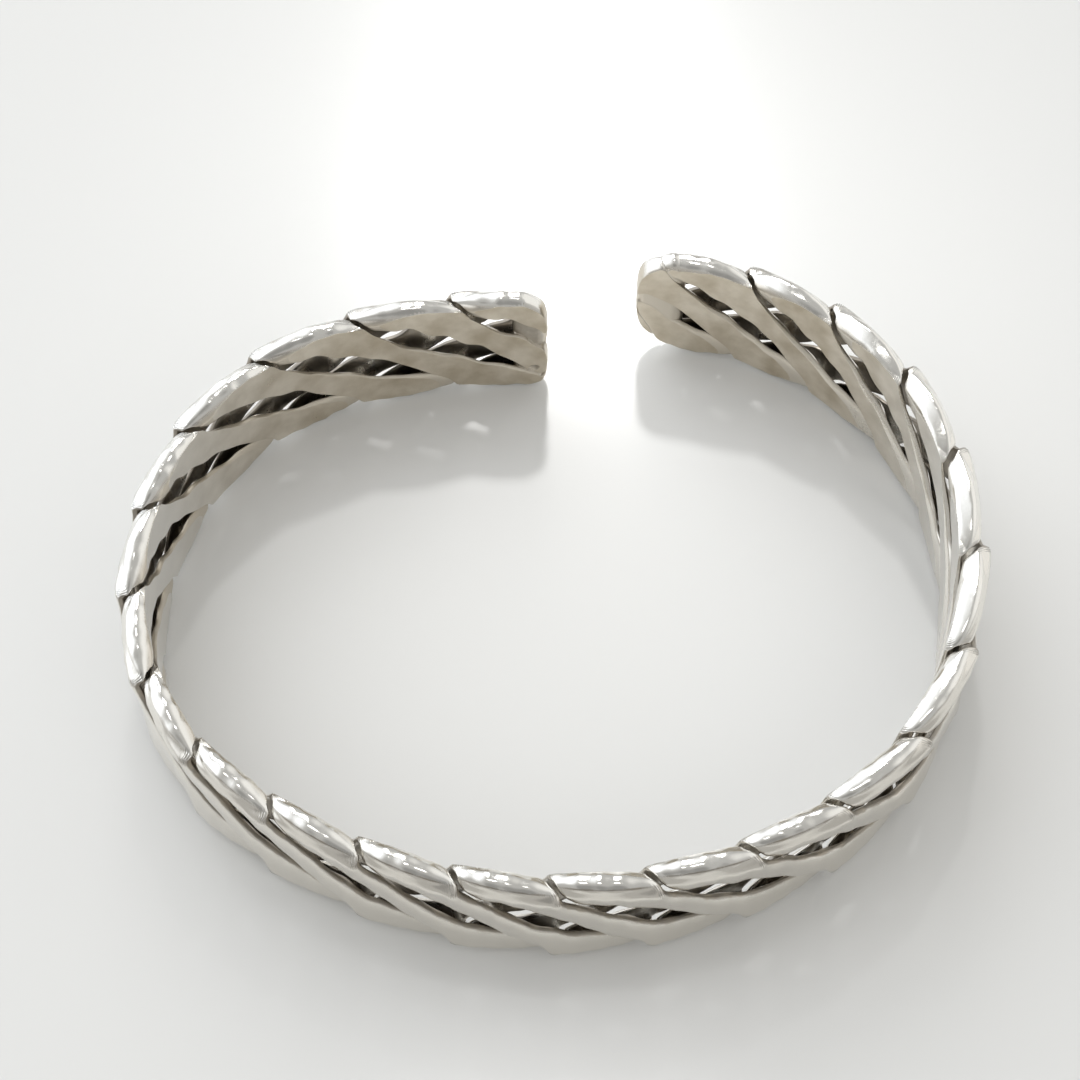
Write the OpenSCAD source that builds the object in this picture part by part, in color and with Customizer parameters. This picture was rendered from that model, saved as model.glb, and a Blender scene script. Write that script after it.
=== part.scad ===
// An open cuff bracelet of four thick wires. They are twisted together about an empty core, rolled
// into a flat band with slots between them, and soldered together at both ends.
//
// The band is worked out in three measures: the station s along its middle line from the left end,
// the place a round its flattened section, and the height y above the section's core line.
// Seen from above, the station runs from the left end round the front to the right end.

/* [Band] */
// Length of the band along its middle line
band_length = 165; // [150:1:180]
// Height of the band from rim to rim
band_height = 11.8; // [10:0.1:14]
// Thickness of the band from its inner face to its outer face
band_thickness = 2.2; // [2:0.1:3.2]

/* [Twist] */
// Width of a slot at the middle of a face, measured up the band
slot_width = 1.4; // [0.6:0.1:1.8]
// Width of a slot where it crosses a rim, measured round the section
rim_slot = 0.4; // [0.4:0.05:0.6]
// Clearance between the wires and a soldered end
clearance = 0.1; // [0.08:0.01:0.2]
// Height of a wire's edges above the core line
edge_height = 0.36; // [0.32:0.02:0.4]
// Height of a wire's flat back above the core line, which leaves the core empty
back_height = 0.18; // [0.14:0.02:0.22]
// Roundness of a wire's edges on a rim, where 2 is a true ellipse and more is squarer
rim_squareness = 2.4; // [2:0.1:4]
// Roundness of a wire's edges at the middle of a face, in the same measure
face_squareness = 5; // [2:0.5:8]

/* [Ends] */
// Length of the soldered end on the left
left_tip = 1.6; // [1:0.1:4]
// Length of the soldered end on the right
right_tip = 2.6; // [1.2:0.1:5]
// Corner radius of the left end at the top
left_top_corner = 2; // [1:0.1:4]
// Corner radius of the left end at the bottom
left_bottom_corner = 1.5; // [1:0.1:4]
// Corner radius of the right end at the top
right_top_corner = 2.5; // [1:0.1:4]
// Corner radius of the right end at the bottom
right_bottom_corner = 4; // [1:0.1:5]

/* [Hidden] */

silver = [0.8, 0.79, 0.76];
solder_silver = [0.76, 0.73, 0.68];

// The band in equal stretches, each a round arc: [bend in degrees, quarter turns of the twist].
// The cuff was bent and twisted by hand, so neither is the same all along.
STRETCHES = [
    // back left, with the end
    [20, 1.95],
    [43, 1.95],
    // left side
    [37, 2.2],
    [45, 2.25],
    // front
    [22, 2.2],
    [26, 2.25],
    [25, 2.2],
    // right side
    [37, 2],
    [32, 1.9],
    // back right, with the end
    [40, 2.05],
    [35, 2.2]
];
BEND = 0;
QUARTERS = 1;

// Direction in which the middle line leaves the left end, counterclockwise from +X
start_heading = 177;
// Quarter turns of the twist since a groove crossed the top rim, at the left end
start_twist = 0.12;
stretch = band_length / len(STRETCHES);

// Sizes of the flattened section, in the order in which a runs: from the middle of the bottom rim
// up the inner face, over the top rim and down the outer face
rim_radius = band_thickness / 2;
face_length = band_height - band_thickness;
quarter_rim = PI * rim_radius / 2;
half_round = face_length + 2 * quarter_rim;
full_round = 2 * half_round;

// A groove between two wires hurries over the rims. This share of a half turn of the twist carries
// it over this many quarter rims, and the rates are in millimetres round the section per half turn.
rim_share = 0.07;
rim_stride = 1.2;
rim_rate = rim_stride * quarter_rim / rim_share;
face_rate = (half_round - 2 * rim_share * rim_rate) / (1 - 2 * rim_share);
// How gently a slot widens from a rim to the middle of a face
slot_taper = 1.3;

// Rings of a wire's surface within a quarter turn, crowded where a groove crosses a rim
RING_PLACES = [-0.25, -0.08, 0, 0.08, 0.25];
// Least twist from a wire's end ring to the next one, in quarter turns
ring_margin = 0.04;
// Points over a wire's surface, an even number, and the reach of its flat back as a share of its width
surface_points = 8;
back_share = 0.55;
// Points round a soldered end, and how far its rim edge is rounded over
tip_points = 28;
tip_rounding = 0.8;
// Thickness of a soldered end at its very edge, as a share of the band's
tip_edge_share = 0.45;
// Places of a soldered end's rings, as shares of its length from the end
TIP_RINGS = [0, 0.12, 0.35, 0.65, 1];

function tanh(x) = 1 - 2 / (exp(2 * x) + 1);

// Sum of the first n values of one column of the table
function column_sum(column, n) = n == 0 ? 0 : STRETCHES[n - 1][column] + column_sum(column, n - 1);

twist_at_joins = [for (i = [0:len(STRETCHES)])
    [i * stretch, start_twist + column_sum(QUARTERS, i)]];
joins_at_twist = [for (row = twist_at_joins) [row[1], row[0]]];

// Twist at station s, in quarter turns, and the station for a given twist
function twist(s) = lookup(s, twist_at_joins);
function station(t) = lookup(t, joins_at_twist);

// Point and heading after a run along an arc of the given bend, as [x, y, heading]
function along_arc(from, bend, run) =
    let (radius = stretch / (bend * PI / 180))
    let (heading = from[2] + bend * run / stretch)
    [from[0] + radius * (sin(heading) - sin(from[2])),
     from[1] + radius * (cos(from[2]) - cos(heading)),
     heading];

function stretch_start(i) = i == 0
    ? [0, 0, start_heading]
    : along_arc(stretch_start(i - 1), STRETCHES[i - 1][BEND], stretch);

starts = [for (i = [0:len(STRETCHES) - 1]) stretch_start(i)];

// Point and heading of the middle line at station s
function middle_line(s) =
    let (i = max(0, min(len(STRETCHES) - 1, floor(s / stretch))))
    along_arc(starts[i], STRETCHES[i][BEND], s - i * stretch);

// How much a rounded corner of the given radius takes off the height at distance u from its end
function corner_drop(u, radius) = u < radius ? radius - sqrt(radius * radius - pow(radius - u, 2)) : 0;

// Height of the core line's upper and lower end above and below the middle of the band
function core_up(s) = face_length / 2
    - corner_drop(s, left_top_corner) - corner_drop(band_length - s, right_top_corner);
function core_down(s) = face_length / 2
    - corner_drop(s, left_bottom_corner) - corner_drop(band_length - s, right_bottom_corner);

// Place in the section, as [outward, upward] from its middle, of the place a round it at height y
function section_place(s, a, y) =
    let (b = a - full_round * floor(a / full_round))
    let (up = core_up(s), down = core_down(s), unit = 90 / quarter_rim)
    let (top = quarter_rim + face_length, back = half_round + quarter_rim)
    b < quarter_rim ? [-y * sin(b * unit), -down - y * cos(b * unit)] :
    b < top ? [-y, -down + (up + down) * (b - quarter_rim) / face_length] :
    b < back ? [-y * cos((b - top) * unit), up + y * sin((b - top) * unit)] :
    b < back + face_length ? [y, up - (up + down) * (b - back) / face_length] :
    [y * cos((b - back - face_length) * unit), -down - y * sin((b - back - face_length) * unit)];

// The same place in space, on a band that isn't yet centred
function loose_place(s, a, y) =
    let (m = middle_line(s), p = section_place(s, a, y))
    [m[0] + p[0] * sin(m[2]), m[1] - p[0] * cos(m[2]), p[1]];

// Way up a face from the middle of one rim to the middle of the next, for a share of a half turn
function climb(share) = face_rate * share
    + (rim_rate - face_rate) * rim_share
    * (tanh(share / rim_share) + tanh(1 / rim_share) - tanh((1 - share) / rim_share));

// Place round the section of a groove, q quarter turns after it crossed the top rim
function groove(q) = half_round * (1 + floor(q / 2)) + climb(q / 2 - floor(q / 2));
function half_slot(q) = (rim_slot + (slot_width - rim_slot) * pow(abs(sin(90 * q)), slot_taper)) / 2;
function squareness(q) = rim_squareness + (face_squareness - rim_squareness) * abs(sin(90 * q));

// Section of wire number k at twist t: a rounded surface between two grooves and a flat back
function wire_ring(k, t) =
    let (s = station(t), ahead = t - k, behind = t - k - 1)
    let (high = groove(ahead) - half_slot(ahead), low = groove(behind) + half_slot(behind))
    let (middle = (high + low) / 2, reach = (high - low) / 2)
    concat(
        [for (i = [0:surface_points - 1])
            let (turn = 180 * i / (surface_points - 1))
            let (power = 2 / squareness(turn < 90 ? ahead : behind))
            let (across = (turn < 90 ? 1 : -1) * pow(abs(cos(turn)), power))
            let (lift = pow(sin(turn), power))
            loose_place(s, middle + across * reach, edge_height + (rim_radius - edge_height) * lift)],
        [for (side = [-1, 1])
            loose_place(s, middle + side * back_share * reach, back_height)]
    );

first_twist = twist(left_tip + clearance);
last_twist = twist(band_length - right_tip - clearance);
inner_twists = [for (whole = [0:ceil(last_twist)]) for (place = RING_PLACES)
    if (whole + place > first_twist + ring_margin && whole + place < last_twist - ring_margin)
        whole + place];
ring_twists = concat([first_twist], inner_twists, [last_twist]);

function wire_rings(k) = [for (t = ring_twists) wire_ring(k, t)];

// Ring of a soldered end at distance u from the end, whose edge is rounded over
function tip_ring(s, u) =
    let (rounding = u < tip_rounding ? 1 - sqrt(1 - pow(1 - u / tip_rounding, 2)) : 0)
    let (y = rim_radius * (1 - (1 - tip_edge_share) * rounding))
    [for (i = [0:tip_points - 1]) loose_place(s, full_round * i / tip_points, y)];

function tip_rings(at_left) = [for (share = TIP_RINGS)
    let (u = share * (at_left ? left_tip : right_tip))
    tip_ring(at_left ? u : band_length - u, u)];

// Middle of the band's box from above, and its lowest point, which is brought down to zero
all_rings = concat([for (k = [0:3]) each wire_rings(k)], tip_rings(true), tip_rings(false));
xs = [for (ring = all_rings) for (p = ring) p[0]];
ys = [for (ring = all_rings) for (p = ring) p[1]];
zs = [for (ring = all_rings) for (p = ring) p[2]];
centre = [(min(xs) + max(xs)) / 2, (min(ys) + max(ys)) / 2, min(zs)];

// Triangles between neighbouring rings of m points each
function wall_faces(rings, m) = [for (r = [0:rings - 2]) for (i = [0:m - 1])
    let (a = r * m + i, b = r * m + (i + 1) % m)
    each [[a, b, b + m], [a, b + m, a + m]]];

// Closing triangles of a wire's end: each half of the surface fans from its own back point
function wire_cap(first, flip) =
    let (half = surface_points / 2, low_back = surface_points, high_back = surface_points + 1)
    let (upper = [for (i = [0:half - 1]) [i, i + 1, high_back]])
    let (lower = [for (i = [half:surface_points - 2]) [i, i + 1, low_back]])
    [for (face = concat(upper, lower, [[half, low_back, high_back]]))
        flip ? [first + face[0], first + face[2], first + face[1]]
             : [first + face[0], first + face[1], first + face[2]]];

// Closing triangles of a soldered end, fanned from the ring's first point
function tip_cap(first, flip) = [for (i = [1:tip_points - 2])
    flip ? [first, first + i + 1, first + i] : [first, first + i, first + i + 1]];

module wire(k) {
    rings = wire_rings(k);
    m = surface_points + 2;
    faces = concat(
        wall_faces(len(rings), m),
        wire_cap(0, true),
        wire_cap((len(rings) - 1) * m, false)
    );
    color(silver)
        translate(-centre)
            polyhedron(points = [for (ring = rings) each ring], faces = faces);
}

module tip(at_left) {
    rings = tip_rings(at_left);
    faces = concat(
        wall_faces(len(rings), tip_points),
        tip_cap(0, true),
        tip_cap((len(rings) - 1) * tip_points, false)
    );
    color(solder_silver)
        translate(-centre)
            polyhedron(
                points = [for (ring = rings) each ring],
                faces = at_left ? [for (face = faces) [face[0], face[2], face[1]]] : faces
            );
}

module wire_1() { wire(0); }
module wire_2() { wire(1); }
module wire_3() { wire(2); }
module wire_4() { wire(3); }
module tip_left() { tip(true); }
module tip_right() { tip(false); }

wire_1();
wire_2();
wire_3();
wire_4();
tip_left();
tip_right();
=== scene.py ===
import math

import bmesh
import bpy
import numpy as np
from mathutils import Matrix, Vector


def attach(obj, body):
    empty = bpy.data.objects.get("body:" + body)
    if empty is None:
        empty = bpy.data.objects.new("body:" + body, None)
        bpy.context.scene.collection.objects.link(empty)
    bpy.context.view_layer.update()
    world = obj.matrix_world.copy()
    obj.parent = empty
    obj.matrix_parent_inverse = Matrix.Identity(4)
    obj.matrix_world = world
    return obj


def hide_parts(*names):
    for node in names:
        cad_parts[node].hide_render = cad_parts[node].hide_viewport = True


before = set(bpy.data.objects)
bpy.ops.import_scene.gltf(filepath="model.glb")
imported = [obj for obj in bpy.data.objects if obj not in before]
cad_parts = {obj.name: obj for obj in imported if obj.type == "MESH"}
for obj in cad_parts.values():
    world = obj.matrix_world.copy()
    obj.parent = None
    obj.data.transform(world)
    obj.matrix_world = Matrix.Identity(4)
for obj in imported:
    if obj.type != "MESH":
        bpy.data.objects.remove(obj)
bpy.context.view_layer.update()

# The four twisted wires
# The real piece is four round silver wires twisted together about an empty core, then hammered
# along both rims and rolled into a flat band. The inner side was ground flat after that, and the
# slots between the wires were blackened and left dark when the outside was polished.
MM = 0.001
BAND_LENGTH = 165.0
BAND_HEIGHT = 11.8
BAND_THICKNESS = 2.2
# Bend in degrees and quarter turns of twist of each equal stretch, from the left end to the right end
BENDS = np.array([20, 43, 37, 45, 22, 26, 25, 37, 32, 40, 35], float)
TWISTS = np.array([1.95, 1.95, 2.2, 2.25, 2.2, 2.25, 2.2, 2.0, 1.9, 2.05, 2.2])
START_HEADING = 177.0
START_TWIST = 0.12
# Corner radii of the band's two ends, seen from the side
LEFT_TOP, LEFT_BOTTOM, RIGHT_TOP, RIGHT_BOTTOM = 2.6, 1.5, 3.0, 5.0
# Share of a half turn in which a groove hurries over a rim, and how many quarter rims that covers
RIM_SHARE = 0.045
RIM_STRIDE = 1.4
# Width of a slot where it crosses a rim
SLOT_AT_RIM = 0.08
# Greatest width of the slots in each stretch, on the inner and the outer face
INNER_WIDTHS = np.array([2.5, 2.6, 2.4, 2.1, 1.8, 2.0, 2.1, 2.2, 2.3, 2.2, 1.8])
OUTER_WIDTHS = np.array([0.9, 1.0, 1.2, 2.3, 3.0, 3.3, 3.4, 3.0, 1.8, 1.3, 1.2])
# How far each slot gapes as it crosses the top rim
TOP_GAPS = np.array([0, 0, 0, 0, 0, 0, 0.1, 0.1, 0, 0, 0, 0, 0, 0, 0, 0, 0, 0, 0.1, 0.4, 0.3, 0, 0, 0, 0, 0])
# How far each slot is moved along the round of the section near the left end
LEFT_SHIFTS = np.array([0, 0.9, -0.4, 0])
# Quarter turns after the top rim over which a slot opens and closes, on the inner and the outer face
INNER_OPENING = (0.05, 0.55, 1.15, 1.8)
OUTER_OPENING = (0.2, 0.65, 0.95, 1.6)
# Heights above the core line of a wire's widest edge and of the middle of its back
EDGE_HEIGHT = 0.5
BACK_HEIGHT = 0.05
# Distance of the ground inner side from the core line, at both ends of each stretch
GROUND_SIDES = np.array([0.72, 0.75, 0.78, 0.84, 0.9, 0.94, 0.94, 0.94, 0.97, 0.95, 0.88, 0.76])
# Squareness of a wire's section where it crosses a rim, in the middle of a face, and on the upper
# side of a wire on the inner face
RIM_SQUARENESS = 2.4
FACE_SQUARENESS = 3.6
BEVEL_SQUARENESS = 2.1
# Share of its height by which a wire sinks at both ends of its way over a rim
RIM_DIPS = np.array([0.65, 0.65, 0.65, 0.6, 0.5, 0.42, 0.42, 0.45, 0.55, 0.6, 0.65])
# How far a wire leans along the band over the one before it, per millimetre of height
RIM_OVERLAPS = np.array([0.3, 0.4, 0.5, 0.6, 0.6, 0.6, 0.6, 0.4, 0.1, 0.0, 0.1])
# Sideways lean of each wire where it passes over a rim
RIM_LEAN = 0.32
# Hammer facets on the rims: how many to a quarter turn, and their rows across a wire
FACETS_A_QUARTER = 4.2
FACET_ROWS = 17
# Radius of a facet's hollow along the band and of its crown across it, and how softly facets blend
FACET_HOLLOW = 6.0
FACET_CROWN = 5.0
FACET_BLEND = 0.006
# A facet's distance from the core as a share of the rim's radius, and how far that varies
FACET_DISTANCE = 0.94
FACET_UNEVENNESS = 0.012
# How far facets are out of line, along the band in shares of their spacing, and across in half widths
FACET_JITTER = 0.06
ROW_JITTER = 0.05
# Height of a rim without facets, as a share of the rim's radius
SMOOTH_SHARE = 0.97
# How clearly the facets show in each stretch, and how strong the waves of the blows are
FACETING = np.array([0.9, 0.9, 0.9, 0.5, 0.12, 0.1, 0.1, 0.15, 0.15, 0.3, 0.6])
HAMMERING = np.array([0.9, 0.9, 1.0, 1.0, 1.0, 1.0, 1.0, 0.7, 0.3, 0.3, 0.6])
# How far the top rim was filed flat in each stretch, and the filed plane's distance from the core, as a
# share of the rim's radius, and its tilt in degrees, to the inner side
FILING = np.array([0, 0, 0, 0, 0, 0, 0, 0.5, 1, 1, 0.4])
FILED_DISTANCE = 0.84
FILED_TILT = 13
# The flat shoulder along the top of the outer side, which meets the round rim in a soft edge: its
# distance from the core as a share of the rim's radius, and its tilt in degrees
SHOULDER_DISTANCE = 0.87
SHOULDER_TILT = 60
# Shallow waves left along the rims by the blows of the hammer: half their number to a quarter turn, their
# height, and their shift from one wire to the next in waves
BLOWS_A_QUARTER = 2.1
BLOW_HEIGHT = 0.055
BLOW_SHIFT = 0.3
# Waves in the height of the faces
FACE_WAVE_HEIGHT = 0.012
# The rims are calm up to this distance from the band's ends, and fully dipped and lapped after this run
CALM_END = 1.6
CALM_RUN = 4.0

rim_radius = BAND_THICKNESS / 2
face_length = BAND_HEIGHT - BAND_THICKNESS
quarter_rim = math.pi * rim_radius / 2
half_round = face_length + 2 * quarter_rim
full_round = 2 * half_round
stretch = BAND_LENGTH / len(BENDS)
joins = np.arange(len(BENDS) + 1) * stretch
join_headings = np.radians(START_HEADING + np.append(0, np.cumsum(BENDS)))
join_twists = START_TWIST + np.append(0, np.cumsum(TWISTS))
bend_radii = stretch / np.radians(BENDS)
arc_steps = bend_radii * np.array([np.diff(np.sin(join_headings)), -np.diff(np.cos(join_headings))])
join_points = np.append([[0.0], [0.0]], np.cumsum(arc_steps, axis=1), axis=1)


def middle_line(station):
    """Point and heading of the band's middle line: a chain of circular arcs, each tangent to the last.
    Along an arc the heading grows evenly, and the point moves by the radius times the change of its
    sine in x and of its cosine in y."""
    i = np.clip((station // stretch).astype(int), 0, len(BENDS) - 1)
    heading = join_headings[i] + (station - joins[i]) / bend_radii[i]
    x = join_points[0][i] + bend_radii[i] * (np.sin(heading) - np.sin(join_headings[i]))
    y = join_points[1][i] - bend_radii[i] * (np.cos(heading) - np.cos(join_headings[i]))
    return x, y, heading


edge_x, edge_y, edge_heading = middle_line(np.linspace(0, BAND_LENGTH, 3000))
edge_xs = edge_x + np.outer([-rim_radius, rim_radius], np.sin(edge_heading))
edge_ys = edge_y - np.outer([-rim_radius, rim_radius], np.cos(edge_heading))
band_centre = [(edge_xs.min() + edge_xs.max()) / 2, (edge_ys.min() + edge_ys.max()) / 2]


def bend_round(points):
    """Takes points of the straightened band, as station, outward and upward, round the cuff's curve:
    outward becomes a step along the middle line's right-hand normal."""
    x, y, heading = middle_line(points[:, 0])
    return np.stack([
        x + points[:, 1] * np.sin(heading) - band_centre[0],
        y - points[:, 1] * np.cos(heading) - band_centre[1],
        points[:, 2] + BAND_HEIGHT / 2,
    ], axis=1)


def corner_drop(distance, radius):
    """What a round corner takes off the height at a distance from the end: radius minus the height of
    a circle of that radius."""
    return radius - np.sqrt(radius**2 - np.clip(radius - distance, 0, radius) ** 2)


ROUND_KNOTS = [0, quarter_rim, quarter_rim + face_length, half_round + quarter_rim,
               full_round - quarter_rim, full_round]


def section(station, place, height):
    """Outward and upward place of a point of the flattened section. Its core line is upright, and the
    point lies a height away from it. The way there turns by half a circle round each end of the core
    line, and keeps its direction along the faces. place runs up the inner face and down the outer."""
    b = np.mod(place, full_round)
    direction = np.radians(np.interp(b, ROUND_KNOTS, [0, 90, 90, 270, 270, 360]))
    climbed = np.interp(b, ROUND_KNOTS, [0, 0, 1, 1, 0, 0])
    to_end = BAND_LENGTH - station
    core_up = face_length / 2 - corner_drop(station, LEFT_TOP) - corner_drop(to_end, RIGHT_TOP)
    core_down = face_length / 2 - corner_drop(station, LEFT_BOTTOM) - corner_drop(to_end, RIGHT_BOTTOM)
    core = climbed * (core_up + core_down) - core_down
    return -height * np.sin(direction), core - height * np.cos(direction)


def groove(q):
    """Place round the section of a groove, q quarter turns after it crossed the top rim. It climbs a
    face at an even rate, and hurries over each rim by a step of hyperbolic tangents."""
    rim_rate = RIM_STRIDE * quarter_rim / RIM_SHARE
    face_rate = (half_round - 2 * RIM_SHARE * rim_rate) / (1 - 2 * RIM_SHARE)
    share = np.mod(q / 2, 1)
    hurry = np.tanh(share / RIM_SHARE) + math.tanh(1 / RIM_SHARE) - np.tanh((1 - share) / RIM_SHARE)
    return half_round * (1 + np.floor(q / 2)) + face_rate * share + (rim_rate - face_rate) * RIM_SHARE * hurry


hand = np.random.default_rng(21)


def unevenness(lines, low, high, waves=5):
    """Uneven handwork for a number of lines, as a function of line number and twist, about -1 to 1: a
    sum of sine waves of random phase, whose frequencies per quarter turn lie between low and high."""
    frequency = 2 * math.pi * hand.uniform(low, high, (lines, waves))
    phase = hand.uniform(0, 2 * math.pi, (lines, waves))

    def value(line, twist):
        angle = np.asarray(twist)[..., None] * frequency[line] + phase[line]
        return np.sin(angle).sum(-1) / math.sqrt(2 * waves)

    return value


groove_wander = unevenness(4, 0.15, 0.6)
slot_fullness = unevenness(4, 0.2, 0.7)
upper_ripple = unevenness(4, 2.0, 3.1, 3)
lower_ripple = unevenness(4, 2.0, 3.1, 3)
GROOVE_WANDER = 0.09
INNER_FULLNESS = 0.2
OUTER_FULLNESS = 0.35
RIPPLE = 0.2


def smooth_step(x, start, end):
    """0 before start, 1 after end, and a cubic with level ends between them."""
    share = np.clip((x - start) / (end - start), 0, 1)
    return share * share * (3 - 2 * share)


def lean(x):
    """Sideways lean of a wire, x quarter turns after it was on top of a rim: it grows evenly from one
    side to the other while the wire is on the rim, and dies away by a bell curve on both sides."""
    x = np.mod(x + 2, 4) - 2
    return 2 * x * np.exp(-np.clip(np.abs(x) - 0.5, 0, None) ** 2 / 0.18)


def slot_edges(line, twist):
    """The two edges of a slot, as places round the section. It opens and closes by smooth steps, both
    edges ripple where the wires were pressed together, and it closes up over a rim by as much as the
    wires on both sides lean away from each other."""
    q = twist - line
    from_top = np.mod(q + 2, 4) - 2
    down = np.abs(from_top)
    a, b, c, d = np.where(from_top[..., None] > 0, OUTER_OPENING, INNER_OPENING).T
    opening = [edge.T for edge in (a, b, c, d)]
    lens = smooth_step(down, opening[0], opening[1]) * (1 - smooth_step(down, opening[2], opening[3]))
    j = line % 4
    near_left = np.exp(-((np.interp(twist, join_twists, joins) / 3) ** 2))
    middle = groove(q) + GROOVE_WANDER * groove_wander(j, twist) + LEFT_SHIFTS[j] * near_left
    over_rim = np.cos(np.clip(np.abs(np.mod(middle + half_round / 2, half_round) - half_round / 2)
                              / quarter_rim, 0, 1) * math.pi / 2)
    from_rim = np.mod(q + 1, 2) - 1
    closing = RIM_LEAN * over_rim * (lean(from_rim + 0.5) - lean(from_rim - 0.5))
    crossing = np.clip(np.round(twist - from_top), 0, len(TOP_GAPS) - 1).astype(int)
    gape = TOP_GAPS[crossing] * np.exp(-((from_top / 0.22) ** 2))
    middles = join_twists[:-1] + TWISTS / 2
    widest = np.where(
        from_top > 0, np.interp(twist, middles, OUTER_WIDTHS), np.interp(twist, middles, INNER_WIDTHS))
    fullness = np.where(from_top > 0, OUTER_FULLNESS, INNER_FULLNESS) * slot_fullness(j, twist)
    width = SLOT_AT_RIM + (widest - SLOT_AT_RIM) * lens * np.maximum(1 + fullness, 0.1)
    width = width + gape - closing
    low = middle - width / 2 - RIPPLE * lens * lower_ripple(j, twist)
    high = middle + width / 2 + RIPPLE * lens * upper_ripple(j, twist)
    return low, high


def rim_dip(x):
    """How far a wire has sunk, as a share of its whole dip, x quarter turns after it was on top of a rim: a
    parabola, which is 0 there and 1 from half a quarter turn away."""
    return 4 * np.clip(np.abs(np.mod(x + 1, 2) - 1), 0, 0.5) ** 2


def squareness(q, upper=False):
    """Squareness of a wire's section beside the slot that crossed the top rim q quarter turns before: it
    goes by the sine from the rims to the middle of each face."""
    face = np.sin(q * math.pi / 2)
    on_face = np.where((face < 0) & upper, BEVEL_SQUARENESS, FACE_SQUARENESS)
    return RIM_SQUARENESS + (on_face - RIM_SQUARENESS) * np.abs(face)


facet_count = int((join_twists[-1] + 2) * FACETS_A_QUARTER)
facet_blows = hand.uniform(-1, 1, (4, 3, FACET_ROWS, facet_count))


def hammer_facets(wire, twist, round_place):
    """Height of a wire's outer surface, hammered into facets on the rims. Each facet is a crowned patch at
    its own distance from the core, slightly hollow along the band, and the surface is the lowest of the
    patches round about, blended softly. It is mixed with a smooth height, sunk by waves of squared
    cosines, and cut by the filed plane and the shoulder's plane."""
    rows = np.linspace(-0.9, 0.9, FACET_ROWS)[:, None]
    cell_twist = (np.arange(facet_count)[None, :] + FACET_JITTER * facet_blows[wire, 0]) / FACETS_A_QUARTER
    cell_station = np.interp(cell_twist, join_twists, joins)
    high = slot_edges(wire, cell_twist)[0]
    low = slot_edges(wire + 1, cell_twist)[1]
    rows = rows + ROW_JITTER * facet_blows[wire, 1]
    cell_place = (low + high) / 2 + rows * (high - low) / 2
    distance = rim_radius * (FACET_DISTANCE + FACET_UNEVENNESS * facet_blows[wire, 2])
    surface = 0.0
    for row in range(FACET_ROWS):
        nearest = np.clip((twist * FACETS_A_QUARTER).astype(int), 1, facet_count - 3)
        for step in (-1, 0, 1, 2):
            i = nearest + step
            away = np.mod(round_place - cell_place[row][i] + half_round, full_round) - half_round
            away_from_rim = np.abs(np.mod(cell_place[row][i] + half_round / 2, half_round) - half_round / 2)
            on_face = np.clip(away_from_rim / quarter_rim - 1, 0, 1)
            along = np.interp(twist, join_twists, joins) - cell_station[row][i]
            plane = distance[row][i] + along**2 / (2 * FACET_HOLLOW) + on_face
            turn = np.clip(np.abs(away) / quarter_rim, 0, 1) * math.pi / 2
            behind = plane - FACET_CROWN
            reach = np.sqrt(np.clip(FACET_CROWN**2 - (behind * np.sin(turn)) ** 2, 0, None))
            reach = reach + behind * np.cos(turn)
            surface = surface + np.exp(-(reach - rim_radius) / FACET_BLEND)
    hammered = np.minimum(rim_radius - FACET_BLEND * np.log(np.maximum(surface, 1e-30)), rim_radius)
    smooth = SMOOTH_SHARE * rim_radius
    middles = join_twists[:-1] + TWISTS / 2
    blows = BLOW_HEIGHT * np.cos(2 * math.pi * (BLOWS_A_QUARTER * twist + BLOW_SHIFT * wire)) ** 2
    height = smooth + np.interp(twist, middles, FACETING) * (hammered - smooth)
    height = height - np.interp(twist, middles, HAMMERING) * blows
    turn = np.clip((np.mod(round_place, full_round) - half_round) / quarter_rim, -1, 1) * 90
    filed = FILED_DISTANCE * rim_radius / np.maximum(np.cos(np.radians(turn + FILED_TILT)), 0.3)
    height = height - np.interp(twist, middles, FILING) * np.maximum(height - filed, 0)
    shoulder = SHOULDER_DISTANCE * rim_radius / np.maximum(np.cos(np.radians(turn - SHOULDER_TILT)), 0.3)
    return np.minimum(height, shoulder)


face_waves = unevenness(8, 0.4, 1.6)
back_waves = unevenness(4, 1.6, 3.2, 3)
BACK_WAVES = 0.8


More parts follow.
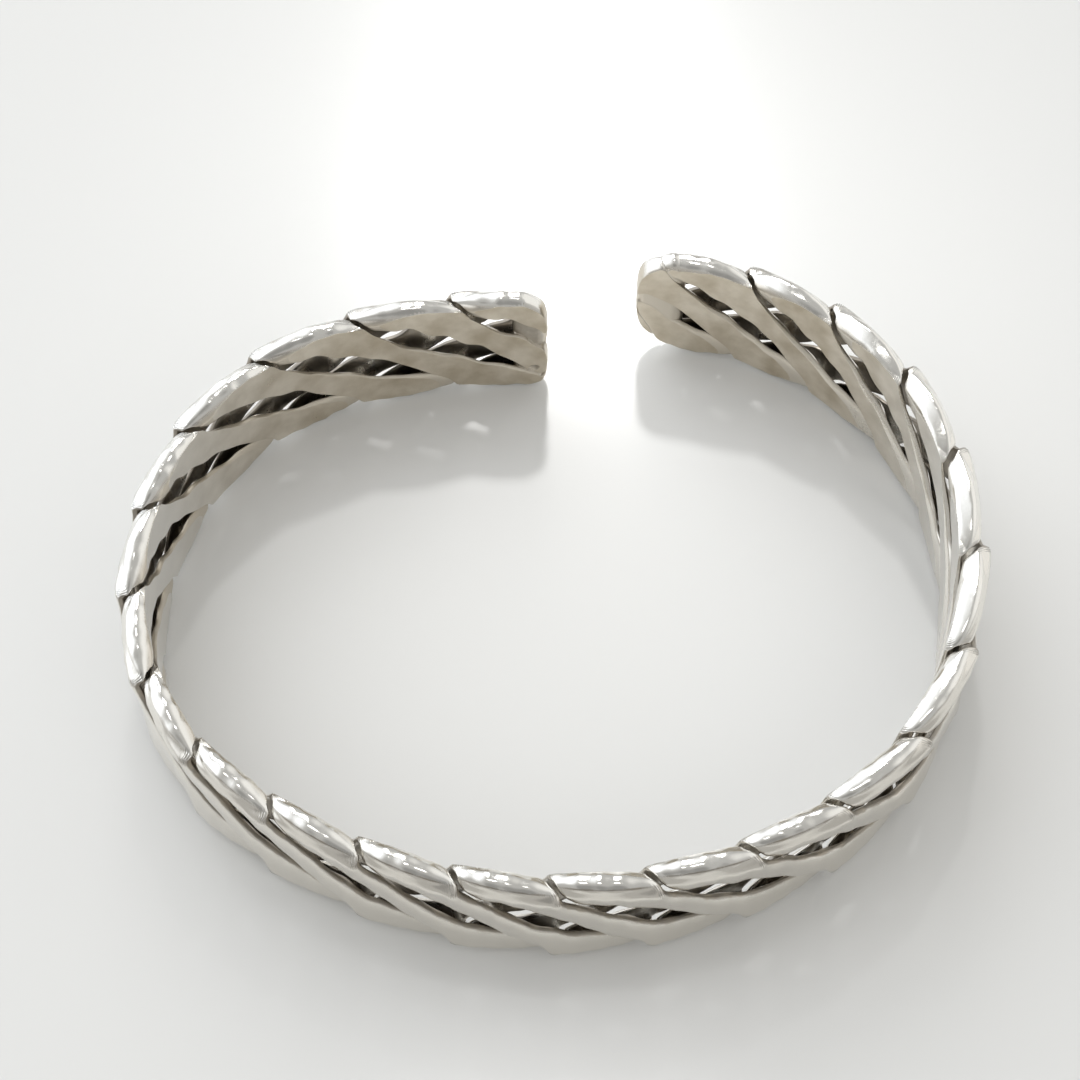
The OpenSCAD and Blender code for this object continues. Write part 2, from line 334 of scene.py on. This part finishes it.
def band_surface(wire, twist, across, lift):
    """Straightened place of the points of one wire, with their blackening and satin. The blackening also
    holds a darkening along the outer edge of the top rim and a painted dark reflection line along the
    edge of its shoulder. across runs from -1 to 1 between the slots on both sides of it, and lift from 0
    at its widest edge to 1 on its outer surface, and to -1 on its back, which rises and falls in waves.
    On a rim the wire dips towards both ends of its crossing, and leans along the band over the wire
    before it."""
    station = np.interp(twist, join_twists, joins)
    low = slot_edges(wire + 1, twist)[1]
    high = slot_edges(wire, twist)[0]
    place = (low + high) / 2 + across * (high - low) / 2
    b = np.mod(place, full_round)
    direction = np.interp(b, ROUND_KNOTS, [0, 90, 90, 270, 270, 360])
    on_inner = np.sin(np.radians(direction)) ** 2 * (direction <= 180)
    on_outer = np.sin(np.radians(direction)) ** 2 * (direction > 180)
    top = hammer_facets(wire, twist, place)
    top = top + FACE_WAVE_HEIGHT * face_waves(wire, twist + 0.3 * across) * (on_outer + on_inner)
    hump = BACK_WAVES * (1 + back_waves(wire, twist)) / 2
    height = np.where(
        lift >= 0,
        EDGE_HEIGHT + (top - EDGE_HEIGHT) * lift,
        EDGE_HEIGHT + (EDGE_HEIGHT - BACK_HEIGHT) * lift * (1 - hump),
    )
    on_rim = np.clip(1 - on_inner - on_outer, 0, 1)
    dark_below = RIM_DARK + (INNER_DARK - RIM_DARK) * on_inner + (OUTER_DARK - RIM_DARK) * on_outer
    dark = (dark_below - height) / DARK_SOFTNESS + 0.5
    near_end = np.clip((np.minimum(station, BAND_LENGTH - station) - CALM_END) / CALM_RUN, 0, 1)
    middles = join_twists[:-1] + TWISTS / 2
    dip = np.interp(twist, middles, RIM_DIPS) * near_end * smooth_step(on_rim, 0, 0.5)
    height = height * (1 - dip * rim_dip(twist - wire - 0.5))
    out, up = section(station, place, height)
    overlap = np.interp(twist, middles, RIM_OVERLAPS)
    station = station - overlap * near_end * on_rim * (height - EDGE_HEIGHT)
    to_top = np.clip(up / (face_length / 2), 0, 1) ** 1.5
    to_bottom = np.clip(-up / (face_length / 2), 0, 1) ** 1.5
    shift = lean(twist - wire - 0.5) * to_top - lean(twist - wire - 2.5) * to_bottom
    out = out + RIM_LEAN * near_end * shift
    rubbed = smooth_step(-back_waves(wire, twist), -0.3, 0.5) * smooth_step(-lift, 0.3, 0.9)
    dark = np.clip(dark, 0, 1) * (1 - RUBBED_BACK * rubbed)
    # Darkening along the outer edge of the top rim, and a painted dark reflection: a narrow dark line along
    # the edge of the shoulder, standing in for the rim's mirror image of the dark room in front. Both are on
    # the top rim only
    top_darkening_and_painted_line = smooth_step(on_outer, 0.55, 0.7) * (1 - smooth_step(on_outer, 0.93, 1.0))
    painted_edge_reflection = np.exp(-(((on_outer - 0.27) / 0.08) ** 2))
    top_darkening_and_painted_line = np.interp(twist, middles, TOP_EDGE_DARKENING) * top_darkening_and_painted_line + np.interp(twist, middles, PAINTED_EDGE_REFLECTION) * painted_edge_reflection
    dark = np.maximum(dark, top_darkening_and_painted_line * (up > 0) * (lift >= 0))
    satin = np.interp(twist, middles, SATIN) * smooth_step(on_inner, 0.3, 0.9)
    outer_satin = np.interp(twist, middles, OUTER_SATIN) * smooth_step(on_outer, 0.26, 0.34)
    satin = np.maximum(satin, outer_satin) * (lift >= 0) + 0.7 * rubbed
    return np.stack(np.broadcast_arrays(station, out, up, dark, satin), axis=-1)


# Height above the core line up to which the blackening was left, on the rims and on both faces
RIM_DARK = 0.42
INNER_DARK = 0.4
OUTER_DARK = 0.8
DARK_SOFTNESS = 0.3
# Share of the blackening that was rubbed off the humps of the wires' backs
RUBBED_BACK = 0.8
# How far the polish was rubbed off to a satin beside the ground flats, in each stretch
SATIN = np.array([1, 1, 1, 0.8, 0.5, 0.4, 0.4, 0.3, 0.3, 0.6, 1])
OUTER_SATIN = np.array([0, 0, 0, 0.3, 0.45, 0.45, 0.45, 0.45, 0.2, 0, 0])
# Darkening along the outer edge of the top rim in each stretch, and a painted dark reflection along the edge
# of its shoulder: a dark line that stands in for the rim's mirror image of the dark room in front of the cuff
TOP_EDGE_DARKENING = np.array([0.4, 0.4, 0.3, 0.2, 0, 0, 0, 0.1, 0.2, 0.3, 0.4])
PAINTED_EDGE_REFLECTION = np.array([0, 0, 0, 0.4, 0.75, 0.75, 0.75, 0.5, 0, 0, 0])
RINGS_A_QUARTER = 34
CROWDING = 0.3
FLANK_POINTS = 12
TOP_POINTS = 64
BACK_POINTS = 22
# Depth of the wires' ends inside the soldered ends
WIRE_START = 1.5


def superellipse(turn, power):
    """Point of a superellipse of half width and half height 1 at a polar angle: its distance from the
    middle is the sum of the powers of cosine and sine, to the power of minus one over that power."""
    reach = (np.abs(np.cos(turn)) ** power + np.abs(np.sin(turn)) ** power) ** (-1 / power)
    return reach * np.cos(turn), reach * np.sin(turn)


def closed_tube(rings):
    """Points and faces of a tube through rings of points. Each end is closed by its own ring, which
    shrinks in two steps to its middle."""
    first, last = rings[:1], rings[-1:]
    caps = [first.mean(1, keepdims=True) + (first - first.mean(1, keepdims=True)) * f for f in (0, 0.5)]
    ends = [last.mean(1, keepdims=True) + (last - last.mean(1, keepdims=True)) * f for f in (0.5, 0)]
    rings = np.concatenate(caps + [rings] + ends)
    n, m = rings.shape[:2]
    i = np.arange(n - 1)[:, None] * m
    j = np.arange(m)[None, :]
    k = (j + 1) % m
    faces = np.stack([i + j, i + k, i + m + k, i + m + j], axis=-1).reshape(-1, 4)
    return rings.reshape(-1, rings.shape[-1]), faces


def wire_mesh(wire):
    """Rings of one wire over its whole length. A ring is a superellipse over the outer surface, squarer
    in the middle of a face than on a rim, and half an ellipse over the back."""
    low_twist = np.interp(WIRE_START, joins, join_twists)
    high_twist = np.interp(BAND_LENGTH - WIRE_START, joins, join_twists)
    even = np.linspace(low_twist, high_twist, int((high_twist - low_twist) * RINGS_A_QUARTER))
    twist = even - CROWDING * np.sin(2 * math.pi * even) / (2 * math.pi)
    twist = np.clip(twist, low_twist, high_twist)[:, None]
    points = FLANK_POINTS * 2 + TOP_POINTS
    turn = np.interp(
        np.arange(points), [0, FLANK_POINTS, points - 1 - FLANK_POINTS, points - 1],
        np.radians([0, 40, 140, 180]),
    )[None, :]
    power = np.where(turn < math.pi / 2, squareness(twist - wire, True), squareness(twist - wire - 1))
    top_across, top_lift = superellipse(turn, power)
    back_turn = np.linspace(0, math.pi, BACK_POINTS + 2)[None, 1:-1] + 0 * twist
    across = np.concatenate([top_across, -np.cos(back_turn)], axis=1)
    lift = np.concatenate([np.maximum(top_lift, 0), -np.sin(back_turn)], axis=1)
    return closed_tube(band_surface(wire, twist + 0 * across, across, lift))


def silver_piece(name, points, faces, materials, proud=0.0):
    """A mesh of the straightened band, bent round the cuff. Its inner side is cut along the ground plane
    and pressed into it, so that the ground flats have crisp edges. proud lifts it off that plane. The
    bend mirrors the band, so the faces are turned round after it and point outwards again."""
    mesh = bpy.data.meshes.new(name)
    mesh.from_pydata(points[:, :3], [], faces)
    for column, finish in ((3, "blackening_and_painted_line"), (4, "satin")):
        layer = mesh.attributes.new(finish, "FLOAT", "POINT")
        layer.data.foreach_set("value", points[:, column].astype(np.float32))
    ground = np.interp(points[:, 0], joins, GROUND_SIDES)
    moved = points[:, :3] + np.stack([0 * ground, ground - GROUND_SIDES[0], 0 * ground], axis=-1)
    mesh.vertices.foreach_set("co", moved.ravel())
    built = bmesh.new()
    built.from_mesh(mesh)
    bmesh.ops.remove_doubles(built, verts=built.verts, dist=0.0005)
    bmesh.ops.recalc_face_normals(built, faces=built.faces)
    bmesh.ops.bisect_plane(
        built, geom=built.verts[:] + built.edges[:] + built.faces[:], dist=1e-6,
        plane_co=(0, -GROUND_SIDES[0], 0), plane_no=(0, 1, 0),
    )
    built.to_mesh(mesh)
    built.free()
    flat = np.empty(len(mesh.vertices) * 3)
    mesh.vertices.foreach_get("co", flat)
    flat = flat.reshape(-1, 3)
    flat[:, 1] = np.maximum(flat[:, 1], -GROUND_SIDES[0])
    starts = np.empty(len(mesh.polygons), int)
    mesh.polygons.foreach_get("loop_start", starts)
    corner = np.empty(len(mesh.loops), int)
    mesh.loops.foreach_get("vertex_index", corner)
    highest = np.maximum.reduceat(flat[corner, 1], starts)
    mesh.polygons.foreach_set("material_index", (highest < -GROUND_SIDES[0] + 1e-5).astype(np.int32))
    flat[:, 1] -= np.interp(flat[:, 0], joins, GROUND_SIDES) - GROUND_SIDES[0] + proud
    mesh.vertices.foreach_set("co", (bend_round(flat) * MM).ravel())
    mesh.flip_normals()
    for material in materials:
        mesh.materials.append(material)
    mesh.polygons.foreach_set("use_smooth", np.ones(len(mesh.polygons), bool))
    mesh.update()
    piece = bpy.data.objects.new(name, mesh)
    bpy.context.scene.collection.objects.link(piece)
    return piece


def linear(sheet_colour):
    """sRGB hex colour as linear red, green, blue and alpha: each value to the power 2.4 after its shift,
    or divided by 12.92 near black."""
    values = [int(sheet_colour[i:i + 2], 16) / 255 for i in (1, 3, 5)]
    return [v / 12.92 if v <= 0.04045 else ((v + 0.055) / 1.055) ** 2.4 for v in values] + [1.0]


def add(tree, kind, settings=(), inputs=(), **links):
    """Adds a node, sets its own settings and its inputs, and links inputs to the given outputs."""
    node = tree.nodes.new(kind)
    for key, value in dict(settings).items():
        setattr(node, key, value)
    for key, value in dict(inputs).items():
        node.inputs[key].default_value = value
    for key, output in links.items():
        tree.links.new(output, node.inputs[int(key[1:]) if key[1:].isdigit() else key.replace("_", " ")])
    return node


def new_material(name):
    material = bpy.data.materials.new(name)
    material.use_nodes = True
    return material, material.node_tree, material.node_tree.nodes["Principled BSDF"]


def polished_silver():
    """Polished silver, hammered on the rims. Fine scuffs from wear break up the mirror, and blackening
    is left where the polishing cloth didn't reach, which draws every groove as a dark line. Beside the
    ground flats and on the solder the polish was rubbed off to a warmer satin."""
    material, tree, shader = new_material("silver_hammered_polished_blackened_painted_line")
    place = add(tree, "ShaderNodeTexCoord").outputs["Object"]
    shader.inputs["Metallic"].default_value = 1.0
    # Besides the blackening in the grooves, this attribute holds a darkening along the top rim's outer edge
    # and a painted dark reflection line along the edge of its shoulder
    dark = add(tree, "ShaderNodeAttribute", {"attribute_name": "blackening_and_painted_line"}).outputs["Fac"]
    # Patches of the blackening, about 0.8 mm across
    patches = add(tree, "ShaderNodeTexNoise", {}, {"Scale": 1250.0, "Detail": 3.0}, Vector=place)
    uneven = add(tree, "ShaderNodeMath", {"operation": "MULTIPLY_ADD"}, {1: 0.7, 2: -0.35},
                 _0=patches.outputs["Fac"])
    worn = add(tree, "ShaderNodeMath", {"operation": "ADD", "use_clamp": True}, {},
               _0=dark, _1=uneven.outputs[0])
    edge = add(tree, "ShaderNodeMapRange", {"interpolation_type": "SMOOTHSTEP"},
               {"From Min": 0.25, "From Max": 0.75}, Value=worn.outputs[0])
    # Slow drift of the silver's tone over some 6 mm
    drift = add(tree, "ShaderNodeTexNoise", {}, {"Scale": 160.0, "Detail": 2.0}, Vector=place)
    tone = add(tree, "ShaderNodeMix", {"data_type": "RGBA"},
               {6: linear("#EFEDE8"), 7: linear("#FAF9F5")}, Factor=drift.outputs["Fac"])
    satin = add(tree, "ShaderNodeAttribute", {"attribute_name": "satin"}).outputs["Fac"]
    rubbed = add(tree, "ShaderNodeMix", {"data_type": "RGBA"}, {7: linear("#D8D0C2")},
                 Factor=satin, _6=tone.outputs[2])
    soot = add(tree, "ShaderNodeMix", {"data_type": "RGBA"}, {6: linear("#7E7B78"), 7: linear("#C2B8A8")},
               Factor=patches.outputs["Fac"])
    colour = add(tree, "ShaderNodeMix", {"data_type": "RGBA"}, {},
                 Factor=edge.outputs[0], _6=rubbed.outputs[2], _7=soot.outputs[2])
    tree.links.new(colour.outputs[2], shader.inputs["Base Color"])
    # Hazy scuffs of about 0.3 mm
    scuffs = add(tree, "ShaderNodeTexNoise", {}, {"Scale": 3300.0, "Detail": 4.0}, Vector=place)
    haze = add(tree, "ShaderNodeMapRange", {},
               {"From Min": 0.35, "From Max": 0.7, "To Min": 0.07, "To Max": 0.2},
               Value=scuffs.outputs["Fac"])
    dull = add(tree, "ShaderNodeMix", {"data_type": "FLOAT"}, {3: 0.36}, Factor=satin, _2=haze.outputs[0])
    rough = add(tree, "ShaderNodeMix", {"data_type": "FLOAT"}, {3: 0.4}, Factor=edge.outputs[0],
                _2=dull.outputs[0])
    tree.links.new(rough.outputs[0], shader.inputs["Roughness"])
    dents = add(tree, "ShaderNodeTexNoise", {}, {"Scale": 900.0, "Detail": 2.0}, Vector=place)
    bump = add(tree, "ShaderNodeBump", {}, {"Strength": 0.25, "Distance": 0.00006},
               Height=dents.outputs["Fac"])
    tree.links.new(bump.outputs[0], shader.inputs["Normal"])
    return material


def ground_silver():
    """Silver ground flat on a belt and left matte. The grit leaves a fine even grain and a warm cloudy
    tone, without any clear reflection."""
    material, tree, shader = new_material("silver_ground_matte_painted_sheen")
    place = add(tree, "ShaderNodeTexCoord").outputs["Object"]
    shader.inputs["Metallic"].default_value = 1.0
    clouds = add(tree, "ShaderNodeTexNoise", {}, {"Scale": 420.0, "Detail": 5.0}, Vector=place)
    spread = add(tree, "ShaderNodeMapRange", {}, {"From Min": 0.33, "From Max": 0.67},
                 Value=clouds.outputs["Fac"])
    tone = add(tree, "ShaderNodeMix", {"data_type": "RGBA"},
               {6: linear("#C3B7A2"), 7: linear("#E6DDCD")}, Factor=spread.outputs[0])
    # Painted sheen: towards the sides and the front the ground silver is painted whiter, standing in for the
    # brighter reflection of flats seen at a grazing angle
    axes = add(tree, "ShaderNodeSeparateXYZ", {}, {}, Vector=place)
    rubbed = add(tree, "ShaderNodeMapRange", {}, {"From Min": 0.019, "From Max": 0.004, "To Max": 0.8},
                 Value=axes.outputs["Y"])
    colour = add(tree, "ShaderNodeMix", {"data_type": "RGBA"}, {7: linear("#EEEDEA")},
                 Factor=rubbed.outputs[0], _6=tone.outputs[2])
    tree.links.new(colour.outputs[2], shader.inputs["Base Color"])
    grain = add(tree, "ShaderNodeTexNoise", {}, {"Scale": 6000.0, "Detail": 3.0}, Vector=place)
    rough = add(tree, "ShaderNodeMapRange", {}, {"To Min": 0.22, "To Max": 0.42}, Value=clouds.outputs["Fac"])
    tree.links.new(rough.outputs[0], shader.inputs["Roughness"])
    bump = add(tree, "ShaderNodeBump", {}, {"Strength": 0.35, "Distance": 0.00003},
               Height=grain.outputs["Fac"])
    tree.links.new(bump.outputs[0], shader.inputs["Normal"])
    return material


silver_materials = [polished_silver(), ground_silver()]

for wire in range(4):
    node_name = f"wire_{wire + 1}"
    points, faces = wire_mesh(wire)
    piece = silver_piece(f"twisted_{node_name}", points, faces, silver_materials)
    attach(piece, "root")
    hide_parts(node_name)

# The two soldered ends
# At each end of the real cuff the last few millimetres of the four wires are run together with silver
# solder and filed to a rounded end, so they are one solid. The solder lies a little below the wires,
# and the wires still show in it as soft lobes.
TIP_AROUND = 320
TIP_RINGS = 70
END_ROUNDING = 0.5
EDGE_SHARE = 0.55
# How far a soldered end reaches inwards past its length, over how much of that the solder falls away, and
# how much further out that starts on the middle of a wire
TIP_TUCK = 1.1
SOLDER_FALL = 1.0
LOBE_FALL = 0.1
# How far a soldered end's surface and its ground flat stand proud of the wires
TIP_PROUD = 0.003
FLAT_PROUD = 0.004
# Darkness of the solder between the wires of the left end, and of its pit
SOLDER_DARK = 0.6
PIT_DARK = 0.7
# Height of the solder between the wires over the core line, and the radius of its fillets
LEFT_SOLDER = 0.5
RIGHT_SOLDER = 0.735
SOLDER_FILLET = 0.02
# How far the end stands back between two wires
LEFT_RECESS = 0.45
RIGHT_RECESS = 0.1
# A small pit in the left end: distance from the end, place round the section, radius and depth
TIP_PIT = (1.0, 3.5, 0.48, 0.34)


def tip_mesh(length, at_left):
    """Rings round the section, from a pole at the very end inwards. A point's height is that of the wire
    it lies on, or of the solder between two wires, softly blended. It is scaled by a quarter ellipse
    towards the end, and falls by another one where the solder stops. Between two wires the end stands
    back a little. The pit is sunk by a bell curve. The pole is a line, whose points are the means of its
    inner and outer side."""
    inner = length + TIP_TUCK
    distance = (inner * np.linspace(0, 1, TIP_RINGS) ** 1.3)[:, None]
    place = full_round * np.arange(TIP_AROUND)[None, :] / TIP_AROUND
    distance, place = np.broadcast_arrays(distance, place)
    station = np.where(at_left, distance, BAND_LENGTH - distance)
    twist = np.interp(station, joins, join_twists)
    wires = np.zeros(station.shape)
    lobes = np.zeros(station.shape)
    for wire in range(4):
        low = slot_edges(wire + 1, twist)[1]
        high = slot_edges(wire, twist)[0]
        across = (np.mod(place - (low + high) / 2 + half_round, full_round) - half_round) / ((high - low) / 2)
        power = np.where(across > 0, squareness(twist - wire, True), squareness(twist - wire - 1))
        shape = np.clip(1 - np.abs(across) ** power, 0, 1) ** (1 / power)
        top = hammer_facets(wire, twist, place) + TIP_PROUD
        wires = np.maximum(wires, np.where(np.abs(across) < 1, EDGE_HEIGHT + (top - EDGE_HEIGHT) * shape, 0))
        lobes = np.maximum(lobes, shape)
    solder = LEFT_SOLDER if at_left else RIGHT_SOLDER
    height = np.log(np.exp(wires / SOLDER_FILLET) + np.exp(solder / SOLDER_FILLET)) * SOLDER_FILLET
    to_pit = np.hypot(distance - TIP_PIT[0], np.mod(place - TIP_PIT[1] + half_round, full_round) - half_round)
    in_pit = at_left * np.exp(-((to_pit / TIP_PIT[2]) ** 2))
    height = height + (GROUND_SIDES[0] - TIP_PIT[3] - height) * in_pit
    rounding = 1 - np.sqrt(1 - np.clip(1 - distance / END_ROUNDING, 0, 1) ** 2)
    to_stop = np.clip((inner - distance) / SOLDER_FALL, 0, 1)
    past = distance + LOBE_FALL * lobes * to_stop - (inner - SOLDER_FALL)
    stop = np.sqrt(np.clip(1 - np.clip(past, 0, 1) ** 2, 0, 1))
    height = height * (1 - (1 - EDGE_SHARE) * rounding) * stop
    set_back = (LEFT_RECESS if at_left else RIGHT_RECESS) * (1 - lobes[:1]) * (1 - distance / inner) ** 2
    station = station + np.where(at_left, set_back, -set_back)
    direction = np.interp(place, ROUND_KNOTS, [0, 90, 90, 270, 270, 360])
    on_inner = np.sin(np.radians(direction)) ** 2 * (direction <= 180)
    on_solder = smooth_step(solder - wires, -0.06, 0.02)
    satin = np.maximum(np.maximum(on_inner, on_solder), smooth_step(0.7 - distance, 0, 0.4))
    out, up = section(station, place, height)
    on_dark_solder = smooth_step(solder - wires, -0.02, 0.04)
    dark = np.maximum(SOLDER_DARK * on_dark_solder, PIT_DARK * in_pit) * at_left
    rings = np.stack([station, out, up, dark, satin], axis=-1)
    flat_out, flat_up = section(station[:1], place[:1], 0 * height[:1])
    flat_up = (flat_up + np.roll(flat_up[:, ::-1], 1, axis=1)) / 2
    pole = station[:1].mean() + 0 * station[:1]
    core = np.stack([pole, flat_out, flat_up, 0 * pole, satin[:1]], axis=-1)
    rings = np.concatenate([core, rings])
    n, m = rings.shape[:2]
    i = np.arange(n - 1)[:, None] * m
    j = np.arange(m)[None, :]
    k = (j + 1) % m
    faces = np.stack([i + j, i + k, i + m + k, i + m + j], axis=-1).reshape(-1, 4)
    return rings.reshape(-1, 5), faces


for node_name, length, at_left in (("tip_left", 1.6, True), ("tip_right", 2.6, False)):
    points, faces = tip_mesh(length, at_left)
    piece = silver_piece(f"soldered_{node_name}", points, faces, silver_materials, FLAT_PROUD)
    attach(piece, "root")
    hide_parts(node_name)

# The floor
# A pale glossy laminate board, which takes a soft mirror image of the cuff and of the light.
floor_mesh = bpy.data.meshes.new("floor")
reach = 1.5
floor_corners = [(-reach, -reach, 0), (reach, -reach, 0), (reach, reach, 0), (-reach, reach, 0)]
floor_mesh.from_pydata(floor_corners, [], [(0, 1, 2, 3)])
floor = bpy.data.objects.new("floor", floor_mesh)
bpy.context.scene.collection.objects.link(floor)
material, tree, shader = new_material("laminate_pale_glossy")
shader.inputs["Base Color"].default_value = linear("#DBDBD9")
shader.inputs["Roughness"].default_value = 0.17
shader.inputs["IOR"].default_value = 1.5
floor_mesh.materials.append(material)

# The light
# A window behind the cuff throws the short shadows towards the camera, in a pool of light. Three large
# lamps light the floor evenly and don't show in the silver, and two small ones give the rims their
# highlights. The room itself is brighter at the back left and at the right.
lamp = bpy.data.lights.new("window", "SPOT")
lamp.shadow_soft_size = 0.025
lamp.spot_size = math.radians(8.5)
lamp.spot_blend = 1.0
lamp.energy = 4.6
lamp_object = bpy.data.objects.new("window", lamp)
bpy.context.scene.collection.objects.link(lamp_object)
LAMP_ELEVATION = math.radians(54)
to_lamp = Vector((0.0, math.cos(LAMP_ELEVATION), math.sin(LAMP_ELEVATION)))
lamp_object.location = Vector((0.004, 0.027, 0.0)) + 0.6 * to_lamp
lamp_object.rotation_euler = to_lamp.to_track_quat("Z", "Y").to_euler()


def area_lamp(name, azimuth, elevation, away, width, height, power, in_reflections=True):
    """A rectangular lamp, facing the cuff from an azimuth round from the back and an elevation."""
    data = bpy.data.lights.new(name, "AREA")
    data.shape = "RECTANGLE"
    data.size, data.size_y = width, height
    data.energy = power
    lamp = bpy.data.objects.new(name, data)
    bpy.context.scene.collection.objects.link(lamp)
    azimuth, elevation = math.radians(azimuth), math.radians(elevation)
    level = math.cos(elevation)
    towards = Vector((math.sin(azimuth) * level, math.cos(azimuth) * level, math.sin(elevation)))
    lamp.location = away * towards
    lamp.rotation_euler = towards.to_track_quat("Z", "Y").to_euler()
    lamp.visible_glossy = in_reflections


area_lamp("ceiling", -20, 76, 1.2, 1.4, 1.2, 2.3, False)
area_lamp("low_window", -35, 30, 1.2, 1.2, 0.8, 4.9, False)
area_lamp("front_fill", 160, 40, 1.2, 1.4, 0.8, 3.5, False)
area_lamp("tall_window", 0, 34, 0.6, 0.1, 0.3, 0.36)
area_lamp("skylight", 0, 80, 0.6, 0.1, 0.06, 0.07)

world = bpy.data.worlds.new("room")
bpy.context.scene.world = world
world.use_nodes = True
tree = world.node_tree
background = tree.nodes["Background"]
direction = add(tree, "ShaderNodeTexCoord").outputs["Generated"]
windows = add(tree, "ShaderNodeVectorMath", {"operation": "DOT_PRODUCT"}, {1: (-0.75, 0.5, 0.43)},
              _0=direction)
back_wall = add(tree, "ShaderNodeMapRange", {"interpolation_type": "SMOOTHSTEP"},
                {"From Min": 0.58, "From Max": 0.9, "To Max": 0.95}, Value=windows.outputs["Value"])
beside = add(tree, "ShaderNodeVectorMath", {"operation": "DOT_PRODUCT"}, {1: (0.8, 0.45, 0.4)},
             _0=direction)
side_wall = add(tree, "ShaderNodeMapRange", {"interpolation_type": "SMOOTHSTEP"},
                {"From Min": 0.7, "From Max": 0.95, "To Max": 0.5}, Value=beside.outputs["Value"])
# The darkest part of the ceiling, over the front
over_front = add(tree, "ShaderNodeVectorMath", {"operation": "DOT_PRODUCT"}, {1: (0.0, -0.47, 0.88)},
                 _0=direction)
front = add(tree, "ShaderNodeMapRange", {"interpolation_type": "SMOOTHSTEP"},
            {"From Min": 0.88, "From Max": 0.99, "To Min": 0.55, "To Max": 0.33},
            Value=over_front.outputs["Value"])
walls = add(tree, "ShaderNodeMath", {"operation": "ADD"}, {},
            _0=back_wall.outputs[0], _1=side_wall.outputs[0])
level = add(tree, "ShaderNodeMath", {"operation": "ADD"}, {}, _0=walls.outputs[0], _1=front.outputs[0])
wall = add(tree, "ShaderNodeMix", {"data_type": "RGBA"}, {6: linear("#F2F1EE"), 7: linear("#F4F8FD")},
           Factor=back_wall.outputs[0])
tree.links.new(wall.outputs[2], background.inputs["Color"])
tree.links.new(level.outputs[0], background.inputs["Strength"])

# The camera
# It looks down at the cuff from the front, close by, as the photograph was taken.
ELEVATION = math.radians(62.16)
DISTANCE = 181.9
FOCAL_PIXELS = 2385.0
ROLL = math.radians(-0.51)
TARGET = Vector((-0.995, 6.918, 0.0))
back = Vector((0, -math.cos(ELEVATION), math.sin(ELEVATION)))
side = Vector((1, 0, 0))
upward = back.cross(side)
rolled_side = math.cos(ROLL) * side + math.sin(ROLL) * upward
rolled_up = -math.sin(ROLL) * side + math.cos(ROLL) * upward
camera_data = bpy.data.cameras.new("camera")
camera_data.sensor_width = 36.0
camera_data.lens = FOCAL_PIXELS / 1080 * camera_data.sensor_width
camera_data.clip_start = 0.01
camera = bpy.data.objects.new("camera", camera_data)
bpy.context.scene.collection.objects.link(camera)
turned = Matrix((rolled_side, rolled_up, back)).transposed().to_4x4()
camera.matrix_world = Matrix.Translation((TARGET + DISTANCE * back) * MM) @ turned
bpy.context.scene.camera = camera
bpy.context.scene.view_settings.view_transform = "Standard"
